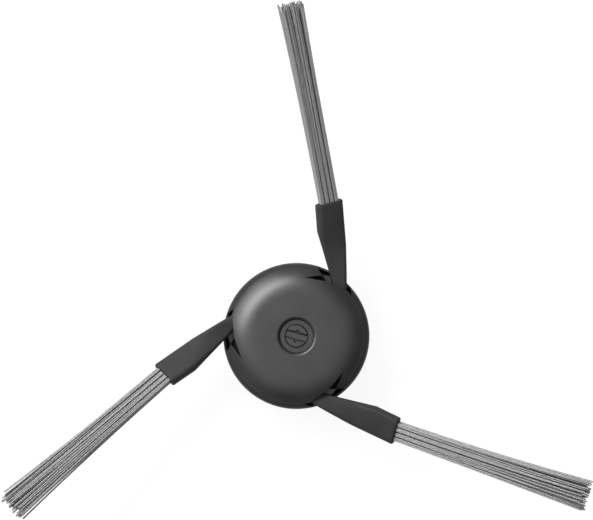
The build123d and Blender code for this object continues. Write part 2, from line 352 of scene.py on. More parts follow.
def spin_section(points, steps, closed=True):
    """Turned shape that a section of radius and height makes about the hub's axis."""
    bm = bmesh.new()
    verts = [bm.verts.new((x, 0, z)) for x, z in points]
    following = verts[1:] + verts[:1] if closed else verts[1:]
    edges = [bm.edges.new(pair) for pair in zip(verts, following)]
    bmesh.ops.spin(
        bm, geom=verts + edges, cent=(0, 0, 0), axis=(0, 0, 1),
        angle=2 * pi, steps=steps, use_merge=True, use_duplicate=False,
    )
    bmesh.ops.remove_doubles(bm, verts=bm.verts, dist=MERGE_DISTANCE)
    bmesh.ops.recalc_face_normals(bm, faces=bm.faces)
    return bm


cap_bm = spin_section(section_points, SPIN_STEPS)
print("cap ring", len(cap_bm.faces), "faces")

# %% [markdown]
# Each arm leaves through a window in the rim. Such notches could be modelled into the dome's grid of
# faces by hand, but prisms taken out with exact booleans are quicker and leave the dome's curve as
# it is. The two helpers below serve the whole lesson: one makes a prism from an outline, the other
# joins or cuts two closed shapes.

# %% Prisms and booleans
def prism(bm, outline, way):
    """Adds the prism that an outline sweeps when it moves along a vector."""
    face = bm.faces.new([bm.verts.new(point) for point in outline])
    grown = bmesh.ops.extrude_face_region(bm, geom=[face])["geom"]
    moved = [part for part in grown if isinstance(part, bmesh.types.BMVert)]
    bmesh.ops.translate(bm, verts=moved, vec=way)
    bmesh.ops.recalc_face_normals(bm, faces=bm.faces)


def combine(bm, other, operation):
    """Joins or cuts two closed bmeshes, and frees both for the result."""
    raws = []
    for source in (bm, other):
        mesh = bpy.data.meshes.new("raw_shape")
        source.to_mesh(mesh)
        source.free()
        raw = bpy.data.objects.new("raw_shape", mesh)
        scene.collection.objects.link(raw)
        raws.append(raw)
    boolean = raws[0].modifiers.new("combine", "BOOLEAN")
    boolean.object = raws[1]
    boolean.operation = operation
    boolean.solver = "EXACT"
    shaped = raws[0].evaluated_get(bpy.context.evaluated_depsgraph_get())
    result = bmesh.new()
    result.from_mesh(shaped.to_mesh())
    shaped.to_mesh_clear()
    for raw in raws:
        mesh = raw.data
        bpy.data.objects.remove(raw)
        bpy.data.meshes.remove(mesh)
    bmesh.ops.remove_doubles(result, verts=result.verts, dist=MERGE_DISTANCE)
    print(operation.lower(), "gives", len(result.faces), "faces")
    return result


# %% [markdown]
# The three arms and their windows are equal, so everything on them is drawn once, in a frame with
# the arm along X, and turned three times. The arm lies beside the hub's centre line. The window's
# lip is a straight line across it, a little turned.

# %% Places of the arms and windows
ARM_COUNT = 3
ARM_AZIMUTH = 94.5
NECK_OFFSET = HUB_RADIUS - 5.9
NECK_THICKNESS = 2.8
NECK_CLEARANCE = 0.1
PLATFORM_TOP = FLANGE_TOP + 2.2
NECK_Z = PLATFORM_TOP + NECK_CLEARANCE + NECK_THICKNESS / 2
LIP_INSET = 2.6
LIP_HEADING = -29.0
WINDOW_LEFT = 3.35
WINDOW_RIGHT = 2.35
arm_turns = [ARM_AZIMUTH + 360 / ARM_COUNT * index for index in range(ARM_COUNT)]
arm_places = [Matrix.Rotation(radians(turn), 4, "Z") for turn in arm_turns]
lip = Vector((cos(radians(LIP_HEADING)), sin(radians(LIP_HEADING))))
lip_left_y, lip_right_y = WINDOW_LEFT - NECK_OFFSET, -WINDOW_RIGHT - NECK_OFFSET
lip_left_x, lip_right_x = [
    (HUB_RADIUS - LIP_INSET - lip.y * y) / lip.x for y in (lip_left_y, lip_right_y)
]
print("arms at", arm_turns, "lip from", round(lip_left_x, 2), "to", round(lip_right_x, 2))

# %% [markdown]
# A window is two cuts. The notch opens the dome from above, and its left side flares outwards. The
# channel is a box that runs in under the lip, where the neck passes.

# %% Cut the windows
WINDOW_FLARE = 26.0
CHANNEL_LENGTH = 4.0
CHANNEL_CLEARANCE = 0.25
TOO_FAR = 2 * HUB_RADIUS


def add_box(bm, place, low, high):
    """Adds a box between two corners of a placed frame."""
    corners = [(low[0], low[1]), (high[0], low[1]), (high[0], high[1]), (low[0], high[1])]
    prism(bm, [place @ Vector((x, y, low[2])) for x, y in corners], (0, 0, high[2] - low[2]))


def window_cutters():
    """Notches, and channels under the lip, as two bmeshes for all arms."""
    notch, channel = bmesh.new(), bmesh.new()
    left_out = lip_left_y + (TOO_FAR - lip_left_x) * tan(radians(WINDOW_FLARE))
    outline = [
        (lip_left_x, lip_left_y), (TOO_FAR, left_out),
        (TOO_FAR, lip_right_y), (lip_right_x, lip_right_y),
    ]
    channel_low = (lip_right_x - CHANNEL_LENGTH, lip_right_y, FLANGE_TOP)
    channel_high = (TOO_FAR, lip_left_y, NECK_Z + NECK_THICKNESS / 2 + CHANNEL_CLEARANCE)
    for place in arm_places:
        prism(notch, [place @ Vector((x, y, FLANGE_TOP)) for x, y in outline], (0, 0, HUB_TOP))
        add_box(channel, place, channel_low, channel_high)
    return notch, channel


for cutter in window_cutters():
    cap_bm = combine(cap_bm, cutter, "DIFFERENCE")

# %% [markdown]
# Beside each arm a slit runs on from the window's lip and tapers to a point on the brow. It goes
# through the shell, so it shows as a black wedge. A triangle swept upwards takes it out. A painted
# wedge would look the same from above, but not from the side.

# %% Cut the slits beside the windows
SLIT_LENGTH = 5.1
SLIT_WIDTH = 1.5
SLIT_HEADING = -15.0


def slit_cutter():
    """Triangular prisms, one for each arm."""
    bm = bmesh.new()
    corners = ((0, 0, 0), (SLIT_WIDTH, 0, 0), (0, SLIT_LENGTH, 0))
    for place in arm_places:
        local = place @ Matrix.Translation((lip_left_x, lip_left_y, FLANGE_TOP))
        local = local @ Matrix.Rotation(radians(SLIT_HEADING), 4, "Z")
        prism(bm, [local @ Vector(corner) for corner in corners], (0, 0, HUB_TOP))
    return bm


cap_bm = combine(cap_bm, slit_cutter(), "DIFFERENCE")

# %% [markdown]
# A finished bmesh becomes a mesh and then an object. Faces are shaded smooth, except across edges
# that turn by more than a set angle. The last lines hang the piece on its body, give it its
# material, and hide the solid of the frame that it stands for.

# %% From a mesh to a piece
SHARP_ANGLE = radians(32)


def keep_piece(bm, name, material, node, sharp_angle=SHARP_ANGLE):
    """Turns a bmesh in millimetres into a piece that stands for one solid of the frame."""
    bmesh.ops.scale(bm, vec=(MM, MM, MM), verts=bm.verts)
    mesh = bpy.data.meshes.new(name)
    bm.to_mesh(mesh)
    bm.free()
    mesh.shade_smooth()
    mesh.set_sharp_from_angle(angle=sharp_angle)
    mesh.materials.append(material)
    piece = bpy.data.objects.new(name, mesh)
    scene.collection.objects.link(piece)
    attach(piece, "root")
    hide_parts(node)
    print(name, len(mesh.polygons), "faces")


keep_piece(cap_bm, "hub_cap_moulding", hub_plastic, "hub_cap")

# %% [markdown]
# ## Drive base
# The lower half is turned too: boss, hollow flange, raised rim and platform. Its edge shows in the
# windows, and its underside shows whenever the brush is turned over. Ribs, walls and ledges are
# joined on afterwards, and the square socket is cut last.

# %% Section of the base
BOSS_RADIUS = 7.4
BOSS_EDGE = 0.4
FLANGE_BOTTOM = FLANGE_TOP - 1.5
PILOT_RADIUS = 5.4
PILOT_DEPTH = 1.5
BASE_WALL = 1.4
SPIGOT_GAP = 0.1
SPIGOT_RADIUS = HUB_RADIUS - CAP_WALL - SPIGOT_GAP
POCKET_RADIUS = SPIGOT_RADIUS - BASE_WALL
POCKET_TOP = PLATFORM_TOP - BASE_WALL
RIM_INSIDE = HUB_RADIUS - 0.55
TOWER_RADIUS = 6.0
TOWER_TOP = HUB_TOP - COUNTERBORE_DEPTH - HEAD_HEIGHT - SEAT_THICKNESS
SMALL_EDGE = 0.12
GROOVE_DEPTH = 0.9


def base_section():
    """Closed outline of the base, from the shank's hole out over the flange and back below."""
    return [
        (SHANK_HOLE_RADIUS, PILOT_DEPTH), (SHANK_HOLE_RADIUS, TOWER_TOP), (TOWER_RADIUS, TOWER_TOP),
        (TOWER_RADIUS, PLATFORM_TOP), (SPIGOT_RADIUS - SMALL_EDGE, PLATFORM_TOP),
        (SPIGOT_RADIUS, PLATFORM_TOP - SMALL_EDGE), (SPIGOT_RADIUS, FLANGE_TOP),
        (RIM_INSIDE, FLANGE_TOP - GROOVE_DEPTH), (RIM_INSIDE, RIM_TOP - SMALL_EDGE),
        (RIM_INSIDE + SMALL_EDGE, RIM_TOP), (HUB_RADIUS - SMALL_EDGE, RIM_TOP),
        (HUB_RADIUS, RIM_TOP - SMALL_EDGE), (HUB_RADIUS, FLANGE_BOTTOM + BOSS_EDGE),
        (HUB_RADIUS - BOSS_EDGE, FLANGE_BOTTOM), (POCKET_RADIUS + SMALL_EDGE, FLANGE_BOTTOM),
        (POCKET_RADIUS, FLANGE_BOTTOM + SMALL_EDGE), (POCKET_RADIUS, POCKET_TOP),
        (BOSS_RADIUS, POCKET_TOP), (BOSS_RADIUS, BOSS_EDGE), (BOSS_RADIUS - BOSS_EDGE, 0),
        (PILOT_RADIUS + SMALL_EDGE, 0), (PILOT_RADIUS, SMALL_EDGE), (PILOT_RADIUS, PILOT_DEPTH),
    ]


base_bm = spin_section(base_section(), SPIN_STEPS)
print("base ring", len(base_bm.faces), "faces")

# %% [markdown]
# Six ribs stiffen the hollow under the flange, as in most thin mouldings. Each is a box that reaches
# a little way into the walls round it, because a union of faces that only touch is unsafe.

# %% Ribs under the flange
RIB_COUNT = 6
RIB_HALF = 0.6
RIB_INSET = 0.3
OVERLAP = 0.4


def base_ribs():
    """Ribs in the hollow under the flange."""
    ribs = bmesh.new()
    low = (BOSS_RADIUS - OVERLAP, -RIB_HALF, FLANGE_BOTTOM + RIB_INSET)
    high = (POCKET_RADIUS + OVERLAP, RIB_HALF, POCKET_TOP + OVERLAP)
    for index in range(RIB_COUNT):
        add_box(ribs, Matrix.Rotation(2 * pi * index / RIB_COUNT, 4, "Z"), low, high)
    return ribs


base_bm = combine(base_bm, base_ribs(), "UNION")

# %% [markdown]
# Two walls stand in front of each arm's root and keep it from being pulled out. They are boxes, and
# a cylinder trims them first, so that they stay inside the cap.

# %% Walls at the arms' roots
WALL_FRONT = 4.476
WALL_THICKNESS = 1.5
WALL_HALF = 4.3
WALL_TOP = PLATFORM_TOP + 2.6
WALL_GAP_HALF = 1.575
WALL_REACH = 13.6
ROUND_STEPS = 96


def root_walls():
    """Pairs of walls in front of the arms' cross bars, trimmed to the inside of the cap."""
    walls, trim = bmesh.new(), bmesh.new()
    for place in arm_places:
        for start, end in ((-WALL_HALF, -WALL_GAP_HALF), (WALL_GAP_HALF, WALL_HALF)):
            low = (WALL_FRONT, start - NECK_OFFSET, PLATFORM_TOP - OVERLAP)
            high = (WALL_FRONT + WALL_THICKNESS, end - NECK_OFFSET, WALL_TOP)
            add_box(walls, place, low, high)
    bmesh.ops.create_cone(
        trim, cap_ends=True, segments=ROUND_STEPS,
        radius1=WALL_REACH, radius2=WALL_REACH, depth=4 * HUB_TOP,
    )
    return combine(walls, trim, "INTERSECT")


base_bm = combine(base_bm, root_walls(), "UNION")

# %% [markdown]
# In each window a small ledge stands beside the neck and catches the light. It follows the window's
# flared side and the neck's flank, so its outline is drawn in the arm's frame and swept upwards.

# %% Ledges in the windows
LEDGE_TOP = PLATFORM_TOP + 1.0
LEDGE_REACH = 1.5
LEDGE_NECK_REACH = 1.08
LEDGE_UNDERCUT = 0.9
LEDGE_GAP = 0.12
LEDGE_INNER = 1.8
LEDGE_OUTER = 2.25


def window_ledges():
    """Ledges that stand in the windows, on the left of each arm's neck."""
    bm = bmesh.new()
    flare = tan(radians(WINDOW_FLARE))
    outline = [
        (lip_left_x + LEDGE_REACH, lip_left_y + LEDGE_REACH * flare - LEDGE_GAP),
        (lip_left_x, lip_left_y - LEDGE_GAP),
        (lip_left_x - LEDGE_UNDERCUT, lip_left_y - LEDGE_GAP),
        (lip_left_x - LEDGE_UNDERCUT, LEDGE_INNER - NECK_OFFSET),
        (lip_left_x + LEDGE_NECK_REACH, LEDGE_OUTER - NECK_OFFSET),
    ]
    for place in arm_places:
        foot = [place @ Vector((x, y, FLANGE_TOP - GROOVE_DEPTH)) for x, y in outline]
        prism(bm, foot, (0, 0, LEDGE_TOP - FLANGE_TOP + GROOVE_DEPTH))
    return bm


base_bm = combine(base_bm, window_ledges(), "UNION")

# %% [markdown]
# The vacuum's shaft drives the brush through a square socket. Its corners are rounded, as the tool
# that shapes the mould leaves them, so the outline is four short arcs.

# %% Drive socket
SOCKET_TOP = TOWER_TOP - 2.0
SOCKET_LOW = PILOT_DEPTH - 0.5
SOCKET_HALF = 3.5
SOCKET_CORNER = 0.8
CORNER_STEPS = 6
CORNER_SIDES = ((1, 1), (-1, 1), (-1, -1), (1, -1))


def socket_cutter():
    """Square prism with rounded corners for the drive shaft."""
    outline = []
    inner = SOCKET_HALF - SOCKET_CORNER
    for quarter, (side_x, side_y) in enumerate(CORNER_SIDES):
        center = Vector((side_x * inner, side_y * inner))
        start = 90 * quarter
        for point in arc(center, SOCKET_CORNER, start, start + 90, CORNER_STEPS):
            outline.append(Vector((point.x, point.y, SOCKET_LOW)))
    cutter = bmesh.new()
    prism(cutter, outline, (0, 0, SOCKET_TOP - SOCKET_LOW))
    return cutter


base_bm = combine(base_bm, socket_cutter(), "DIFFERENCE")

# %% [markdown]
# The platform and the groove round it lie deep in the windows and look nearly black there. Their
# upward faces get the attribute that the moulded material reads, so shade is painted on them. Faces
# that a boolean made are hard to pick by number, so they are picked by where they lie.

# %% Mark the sunk faces of the base for painted shade
# The mask marks where shade is painted: the upward faces deep in the windows.
painted_shade_layer = base_bm.faces.layers.float.new("painted_shade_face")
for face in base_bm.faces:
    middle = face.calc_center_median()
    inside = TOWER_RADIUS < middle.xy.length < RIM_INSIDE
    sunk = FLANGE_TOP - GROOVE_DEPTH < middle.z < PLATFORM_TOP + SMALL_EDGE
    face[painted_shade_layer] = float(inside and sunk and face.normal.z > 0)
print("plain faces", round(sum(face[painted_shade_layer] for face in base_bm.faces)))
keep_piece(base_bm, "drive_base_moulding", hub_plastic, "drive_base")

# %% [markdown]
# ## Screw
# The head lies flush in the counterbore, and the shank below it is waisted, so that the loose screw
# stays in the hub. Head and shank are one open section that is spun about the axis.

# %% Body of the screw
HEAD_RADIUS = 2.55
HEAD_EDGE = 0.15
HEAD_EDGE_STEPS = 4
SHANK_RADIUS = 1.2
SHANK_TIP = 0.4
SHANK_DROP = 0.3
THREAD_LENGTH = 3.9
head_top = HUB_TOP - COUNTERBORE_DEPTH
thread_low = SOCKET_TOP - SHANK_DROP - THREAD_LENGTH


def screw_section():
    """Open outline of the screw, from its tip up to the middle of its head."""
    head_low = head_top - HEAD_HEIGHT
    edge_center = Vector((HEAD_RADIUS - HEAD_EDGE, head_top - HEAD_EDGE))
    points = [(0, thread_low), (SHANK_RADIUS - SHANK_TIP, thread_low)]
    points += [(SHANK_RADIUS, thread_low + SHANK_TIP), (SHANK_RADIUS, head_low)]
    points += [(HEAD_RADIUS, head_low)]
    points += arc(edge_center, HEAD_EDGE, 0, 90, HEAD_EDGE_STEPS)
    return points + [(0, head_top)]


screw_bm = spin_section(screw_section(), ROUND_STEPS, closed=False)
print("screw's body", len(screw_bm.faces), "faces")

# %% [markdown]
# A wide slot and a narrow bar cross in the head. The walls of both slant, which draws the dark lines
# that show from above, so the cutters are wider at the top than at the floor. The slot is a prism
# with a slanting outline, and the bar is a box whose corners are moved out above and in below.

# %% Recess in the head
SLOT_HALF = 0.62
SLOT_DEPTH = 0.5
SLOT_DRAFT = 40.0
SLOT_AZIMUTH = -15.7
BAR_HALF_WIDTH = 0.3
BAR_HALF_LENGTH = 1.5
BAR_DRAFT = 0.2


def recess_cutters():
    """Wide slot, and the bar across it, as two bmeshes."""
    slot, bar = bmesh.new(), bmesh.new()
    place = Matrix.Rotation(radians(SLOT_AZIMUTH), 4, "Z")
    turn = place.to_3x3()
    floor, above = head_top - SLOT_DEPTH, head_top + SLOT_DEPTH
    open_half = SLOT_HALF + (above - floor) * tan(radians(SLOT_DRAFT))
    outline = [(-SLOT_HALF, floor), (SLOT_HALF, floor), (open_half, above), (-open_half, above)]
    start = [place @ Vector((-TOO_FAR, y, z)) for y, z in outline]
    prism(slot, start, turn @ Vector((2 * TOO_FAR, 0, 0)))
    bar_low = (-BAR_HALF_WIDTH, -BAR_HALF_LENGTH, floor)
    add_box(bar, place, bar_low, (BAR_HALF_WIDTH, BAR_HALF_LENGTH, above))
    for vert in bar.verts:
        corner = place.inverted() @ vert.co
        grow = BAR_DRAFT if vert.co.z > head_top else -BAR_DRAFT
        vert.co += turn @ Vector((copysign(1, corner.x) * grow, copysign(1, corner.y) * grow, 0))
    return slot, bar


for cutter in recess_cutters():
    screw_bm = combine(screw_bm, cutter, "DIFFERENCE")

# %% [markdown]
# The thread is a small triangle that is spun with a rise, turn after turn, and closed at both ends.
# It is sunk a little into the shank. A screw modifier could wind it too, but spin keeps it in the
# same bmesh.

# %% Thread
THREAD_RADIUS = 1.5
THREAD_PITCH = 0.5
THREAD_FLANK = 0.45
THREAD_SINK = 0.02
THREAD_STEPS = 32
THREAD_TURNS = 7


def add_thread(bm):
    """Adds the thread's ridge: a triangle that climbs as it turns."""
    low = thread_low + SHANK_TIP
    half = THREAD_PITCH * THREAD_FLANK
    root = SHANK_RADIUS - THREAD_SINK
    profile = [(root, low - half), (THREAD_RADIUS, low), (root, low + half)]
    verts = [bm.verts.new((x, 0, z)) for x, z in profile]
    edges = [bm.edges.new(pair) for pair in zip(verts, verts[1:] + verts[:1])]
    bm.faces.new(verts)
    end = bmesh.ops.spin(
        bm, geom=verts + edges, cent=(0, 0, 0), axis=(0, 0, 1),
        dvec=(0, 0, THREAD_PITCH / THREAD_STEPS), angle=2 * pi * THREAD_TURNS,
        steps=THREAD_STEPS * THREAD_TURNS, use_duplicate=False,
    )["geom_last"]
    bm.faces.new([part for part in end if isinstance(part, bmesh.types.BMVert)])
    bmesh.ops.recalc_face_normals(bm, faces=bm.faces)


add_thread(screw_bm)
keep_piece(screw_bm, "fixing_screw_turned", screw_paint, "fixing_screw")

# %% [markdown]
# ## Arms
# An arm is a row of rounded sections joined like beads on a string: a narrow neck inside the hub,
# a flare that climbs and twists, and a flat sleeve. A bent and twisted box could give the sleeve,
# but not the flare, so each section is a closed loop, and bridge_loops makes the skin between two
# neighbours. The flare passes through three known sections, and a parabola through each point of
# them gives the loops in between.

# %% Sections of an arm
FLAT_STEPS = 5


def rounded_loop(place, width, thickness, corner, inset=0.0):
    """Points of a placed rounded rectangle across the arm, drawn in by an inset."""
    half_width, half_thickness = width / 2 - inset, thickness / 2 - inset
    radius = corner - inset
    corners = []
    for quarter, (side_y, side_z) in enumerate(CORNER_SIDES):
        center = Vector((side_y * (half_width - radius), side_z * (half_thickness - radius)))
        corners.append(arc(center, radius, 90 * quarter, 90 * quarter + 90, CORNER_STEPS))
    outline = []
    for points, following in zip(corners, corners[1:] + corners[:1]):
        outline += points
        for step in range(1, FLAT_STEPS):
            outline.append(points[-1].lerp(following[0], step / FLAT_STEPS))
    return [place @ Vector((0, point.x, point.y)) for point in outline]


def through_three(first, middle, last, share, t):
    """Loop at t on the parabolas through three loops, the middle one at a share of the way."""
    u = (t - share) * (t - 1) / share
    v = t * (t - 1) / (share * (share - 1))
    w = t * (t - share) / (1 - share)
    return [a * u + b * v + c * w for a, b, c in zip(first, middle, last)]


print("points in a section", len(CORNER_SIDES) * (CORNER_STEPS + FLAT_STEPS))

# %% [markdown]
# Three places fix the arm: the rim, where the neck has left the window, the shoulder, where the
# sleeve starts, and the mouth. The sleeve is pitched up, rolled and leans a little to the left, and
# its mouth is cut square to the tuft.

# %% Places along an arm
SLEEVE_LENGTH = 8.5
SLEEVE_SLANT = 30.0
TUFT_LEAN = 6.0
MOUTH_SHIFT = (17.6, 1.2, 3.1)
MOUTH_ROLL = 20.0
MOUTH_PITCH = 13.0
RIM_SHIFT = (1.9, 0.33, 0.35)
RIM_PITCH = 7.0
RIM_LEAN = 5.0
CROSS_BAR_INSIDE = 9.7


def turned(x=0.0, y=0.0, z=0.0):
    """Turn about Z, then Y, then X of the moving frame, in degrees."""
    spin_x, spin_y = Matrix.Rotation(radians(x), 4, "X"), Matrix.Rotation(radians(y), 4, "Y")
    return Matrix.Rotation(radians(z), 4, "Z") @ spin_y @ spin_x


def from_rim(ahead, aside, up):
    """Place on the arm, counted from the point where its middle line leaves the hub."""
    return Matrix.Translation((rim_x + ahead, aside - NECK_OFFSET, NECK_Z + up))


rim_x = sqrt(HUB_RADIUS**2 - NECK_OFFSET**2)
cross_bar_x = rim_x - CROSS_BAR_INSIDE
lean = radians(TUFT_LEAN)
rim_place = from_rim(*RIM_SHIFT) @ turned(y=-RIM_PITCH, z=RIM_LEAN)
mouth_place = from_rim(*MOUTH_SHIFT) @ turned(x=MOUTH_ROLL, y=-MOUTH_PITCH, z=TUFT_LEAN)
sleeve_back = Vector((-SLEEVE_LENGTH * cos(lean), SLEEVE_LENGTH * sin(lean), 0))
shoulder_place = mouth_place @ Matrix.Translation(sleeve_back) @ turned(z=-SLEEVE_SLANT - TUFT_LEAN)
print("mouth at", mouth_place.translation, "shoulder at", shoulder_place.translation)

# %% [markdown]
# The loops run from the root of the neck out along the flare and the sleeve. Three ever smaller
# loops round off the mouth's edge before the skin turns down into the pocket that holds the tufts.

# %% Loops along an arm
NECK_WIDTH = 2.95
NECK_CORNER = 0.7
RIM_NECK_WIDTH = 4.25
SLEEVE_WIDTH = 6.5
SLEEVE_THICKNESS = 3.0
SLEEVE_CORNER = 1.1
POCKET_WIDTH = 4.7
POCKET_THICKNESS = 1.9
POCKET_CORNER = 0.2
POCKET_DEPTH = 4.0
POCKET_EDGE = 0.1
MOUTH_EDGE = 0.3
MOUTH_TURNS = (30, 60, 90)
FLARE_STEPS = 18
SLEEVE_STEPS = 8


def neck(x):
    """Loop of the neck at a place along the arm."""
    place = Matrix.Translation((x, -NECK_OFFSET, NECK_Z))
    return rounded_loop(place, NECK_WIDTH, NECK_THICKNESS, NECK_CORNER)


def mouth(x, inset):
    """Loop of the sleeve close to its mouth."""
    place = mouth_place @ Matrix.Translation((x, 0, 0))
    return rounded_loop(place, SLEEVE_WIDTH / cos(lean), SLEEVE_THICKNESS, SLEEVE_CORNER, inset)


def pocket(x):
    """Loop of the pocket inside the mouth."""
    place = mouth_place @ Matrix.Translation((x, 0, 0))
    return rounded_loop(place, POCKET_WIDTH, POCKET_THICKNESS, POCKET_CORNER)


def arm_loops():
    """Loops of an arm from the end of its neck, out to the mouth and down into the pocket."""
    start_x = rim_x - LIP_INSET
    start = neck(start_x)
    rim = rounded_loop(rim_place, RIM_NECK_WIDTH, NECK_THICKNESS, NECK_CORNER)
    slanted = SLEEVE_WIDTH / cos(radians(SLEEVE_SLANT))
    shoulder = rounded_loop(shoulder_place, slanted, SLEEVE_THICKNESS, SLEEVE_CORNER)
    near = (rim_place.translation - Vector((start_x, -NECK_OFFSET, NECK_Z))).length
    far = (shoulder_place.translation - rim_place.translation).length
    share = near / (near + far)
    loops = [neck(cross_bar_x)]
    for step in range(FLARE_STEPS + 1):
        loops.append(through_three(start, rim, shoulder, share, step / FLARE_STEPS))
    for step in range(1, SLEEVE_STEPS + 1):
        pairs = zip(shoulder, mouth(-MOUTH_EDGE, 0))
        loops.append([a.lerp(b, step / SLEEVE_STEPS) for a, b in pairs])
    for turn in MOUTH_TURNS:
        back, inset = 1 - sin(radians(turn)), 1 - cos(radians(turn))
        loops.append(mouth(-MOUTH_EDGE * back, MOUTH_EDGE * inset))
    return loops + [pocket(x) for x in (0.0, -POCKET_EDGE, -POCKET_DEPTH)]


loops_of_arm = arm_loops()
print("loops along an arm", len(loops_of_arm))

# %% [markdown]
# Inside the hub the neck ends in a cross bar, which keeps the arm from being pulled out. It is a
# bevelled block joined to the skin. The same arm is made three times and turned into place.

# %% Make the arms
CROSS_BAR_SIZE = (2.4, 4.8, 2.4)
CROSS_BAR_EDGE = 0.3


def make_arm(place):
    """Skin of loops with closed ends, and the cross bar at the root."""
    bm, bar = bmesh.new(), bmesh.new()
    rings = []
    for points in loops_of_arm:
        verts = [bm.verts.new(point) for point in points]
        rings.append([bm.edges.new(pair) for pair in zip(verts, verts[1:] + verts[:1])])
    for ring, following in zip(rings, rings[1:]):
        bmesh.ops.bridge_loops(bm, edges=ring + following)
    bmesh.ops.edgeloop_fill(bm, edges=rings[0])
    bmesh.ops.edgeloop_fill(bm, edges=rings[-1])
    bmesh.ops.recalc_face_normals(bm, faces=bm.faces)
    middle = Vector((cross_bar_x, -NECK_OFFSET, PLATFORM_TOP + CROSS_BAR_SIZE[2] / 2))
    block = Matrix.LocRotScale(middle, None, CROSS_BAR_SIZE)
    bmesh.ops.create_cube(bar, size=1.0, matrix=block)
    bmesh.ops.bevel(
        bar, geom=bar.edges, offset=CROSS_BAR_EDGE, offset_type="OFFSET", segments=3, profile=0.5,
        affect="EDGES", material=-1,
    )
    bm = combine(bm, bar, "UNION")
    bmesh.ops.transform(bm, matrix=place, verts=bm.verts)
    return bm


for number, place in enumerate(arm_places, start=1):
    node = f"arm_{number}"
    keep_piece(make_arm(place), f"{node}_moulding", arm_rubber, node)

# %% [markdown]
# ## Tufts
# A filament is a thin straight rod of nylon. Curves with a bevel or hair could draw hundreds of
# them, but a mesh exports as it is. One rod with seven sides is made as a pattern, divided along its
# length so that it can bend.

# %% Pattern of a filament
FILAMENT_SIDES = 7
FILAMENT_SPANS = 8


def filament_pattern():
    """Rod of unit radius and length along Z, divided along its length."""
    bm = bmesh.new()
    bmesh.ops.create_cone(
        bm, cap_ends=True, segments=FILAMENT_SIDES, radius1=1, radius2=1, depth=1,
        matrix=Matrix.Translation((0, 0, 0.5)),
    )
    upright = [edge for edge in bm.edges if abs(edge.verts[0].co.z - edge.verts[1].co.z) > 0.5]
    bmesh.ops.subdivide_edges(bm, edges=upright, cuts=FILAMENT_SPANS - 1, use_grid_fill=True)
    mesh = bpy.data.meshes.new("filament_pattern")
    bm.to_mesh(mesh)
    bm.free()
    print("pattern", len(mesh.polygons), "faces")
    return mesh


pattern = filament_pattern()

# %% [markdown]
# Every copy of the pattern is laid from its foot in the pocket to its own tip. It has a slight curl,
# a slanting cut and a shade of its own. The bristles stay together at first and spread late, so the
# way to the side grows mostly with the square of the length. The draws come from one seeded source,
# so each run gives the same brush.

# %% Lay a filament
SEED = 11
FILAMENT_RADIUS = 0.19
FLARE = 0.8
CURL = 0.06
TIP_SLANT = 1.2
TIP_START = 0.99
SHADE_SPREAD = 0.05
draw = random.Random(SEED)


def lay_filament(bm, shade_layer, foot, tip, bow, tone):
    """Lays one copy of the pattern from a foot to a tip in the mouth's frame."""
    bm.from_mesh(pattern)
    bm.verts.ensure_lookup_table()
    way = tip - foot
    turn = way.to_track_quat("Z", "Y")
    curl = bow + Vector((0, draw.uniform(-CURL, CURL), draw.uniform(-CURL, CURL)))
    curl.y += FLARE * way.y
    shade = tone + draw.uniform(-SHADE_SPREAD, SHADE_SPREAD)
    slant = draw.uniform(-TIP_SLANT, TIP_SLANT)
    for vert in bm.verts[-FILAMENT_SIDES * (FILAMENT_SPANS + 1):]:
        t = vert.co.z
        side = turn @ Vector((vert.co.x, vert.co.y, vert.co.x * slant * (t > TIP_START)))
        vert.co = foot + way * t + curl * (t * t - t) + side * FILAMENT_RADIUS
        vert[shade_layer] = shade


print("filaments are", 2 * FILAMENT_RADIUS, "mm thick")

# %% [markdown]
# Each sleeve holds four tufts, whose filaments are fused into one block at the root. At the mouth
# the rods of a tuft lie as close as pencils in a bundle, in rows of three and two, so that a dark
# gap shows between two tufts. Rods above one another form a strand: they share a shade and drift to
# the same side, which gives the streaks of the real brush. On each arm the tips fan out by a width
# of their own and lie a little aside.

# %% Strands and fans
TUFTS_PER_ARM = 4
TUFT_RECESS = 0.6
TUFT_CLEARANCE = 0.02
TUFT_SPREAD = 1.5
TUFT_BOW = 0.3
ROW_COUNTS = (3, 2, 3, 2, 3, 2, 3)
FILAMENT_SPACING = 0.28
FILAMENT_SINK = 0.4
FILAMENT_LENGTH = 47.5
LENGTH_SPREAD = 0.9
FAN_WIDTH = (5.6, 7.2, 7.5)
FAN_SHIFT = (0.35, 0.15, 0.85)
FAN_THICKNESS = 3.4
FAN_SCATTER = 0.14
STRAND_SCATTER = 0.4
STRAND_TONE = (0.4, 0.85)


def draw_strand():
    """Shade of a strand and how far its filaments drift together at their tips."""
    drift = Vector((0, draw.uniform(-STRAND_SCATTER, STRAND_SCATTER), 0))
    return draw.uniform(*STRAND_TONE), drift


def lay_rows(bm, middle, root_x, half_height, fan, shift):
    """Lays the filaments of a tuft, row by row from the lowest."""
    shade_layer = bm.verts.layers.float.new("filament_shade")
    bow = Vector((0, draw.uniform(-TUFT_BOW, TUFT_BOW), draw.uniform(-TUFT_BOW, TUFT_BOW)))
    strands = [[draw_strand() for _ in range(count)] for count in range(max(ROW_COUNTS) + 1)]
    for row, count in enumerate(ROW_COUNTS):
        z = (2 * row / (len(ROW_COUNTS) - 1) - 1) * (half_height - FILAMENT_RADIUS)
        for column in range(count):
            tone, drift = strands[count][column]
            aside = (column - (count - 1) / 2) * FILAMENT_SPACING
            foot = Vector((root_x - FILAMENT_SINK, middle + aside, z))
            tip_y = (middle + aside * TUFT_SPREAD) * fan / POCKET_WIDTH + shift
            tip = Vector((
                FILAMENT_LENGTH + draw.uniform(-LENGTH_SPREAD, LENGTH_SPREAD),
                tip_y + draw.gauss(0, FAN_SCATTER),
                z * FAN_THICKNESS / POCKET_THICKNESS + draw.gauss(0, FAN_SCATTER),
            ))
            lay_filament(bm, shade_layer, foot, tip + drift, bow, tone)


